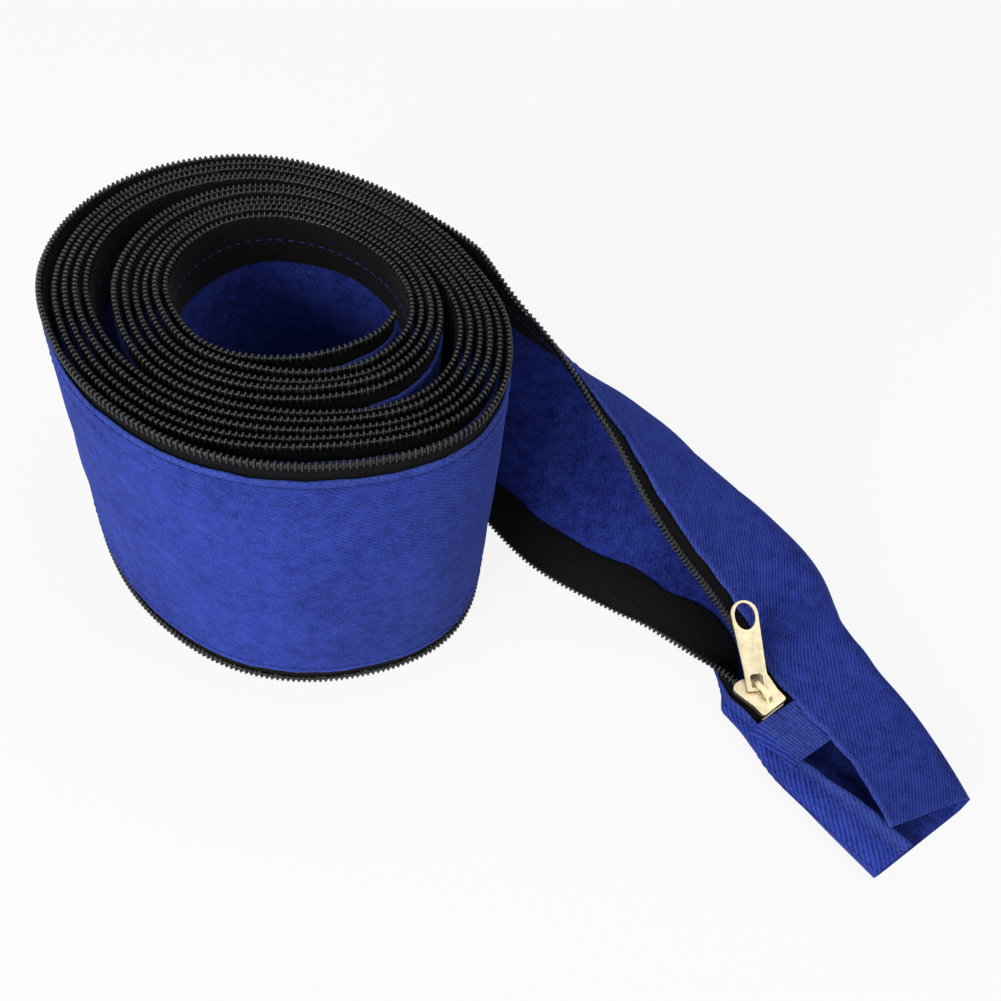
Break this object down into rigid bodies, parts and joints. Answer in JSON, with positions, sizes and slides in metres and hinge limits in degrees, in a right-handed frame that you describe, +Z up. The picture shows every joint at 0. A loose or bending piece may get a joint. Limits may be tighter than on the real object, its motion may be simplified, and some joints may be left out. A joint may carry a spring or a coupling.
{
  "type": "zippered cable sleeve",
  "caption": "Blue twill cable sleeve with a coil zip along both edges, rolled up open on its edge, its end run off and closed into a flat tube behind the slider.",
  "frame": {"origin": "middle of the footprint's bounding box, on the surface that the roll stands on", "axes": "+Z up along the roll's axis, +X towards the side where the end runs off, the picture taken from the -Y side"},
  "size_m": [0.283, 0.1518, 0.1],
  "materials": {
    "cloth": "blue cotton twill",
    "zip_tape": "black woven tape",
    "zip_coil": "black nylon monofilament",
    "zip_metal": "pale gold plating, satin"
  },
  "bodies": {
    "sleeve": {"sleeve_cloth": "cloth", "upper_tape": "zip_tape", "lower_tape": "zip_tape", "upper_coil": "zip_coil", "lower_coil": "zip_coil", "end_tab": "cloth", "slider": "zip_metal"},
    "pull": {"pull_tab": "zip_metal"}
  },
  "joints": [
    {"name": "pull_hinge", "type": "hinge", "parent": "sleeve", "child": "pull", "pos_m": [0.0774, -0.02625, 0.01249], "axis": [0.9607, 0.2305, 0.1544], "range_deg": [0, 80]}
  ]
}
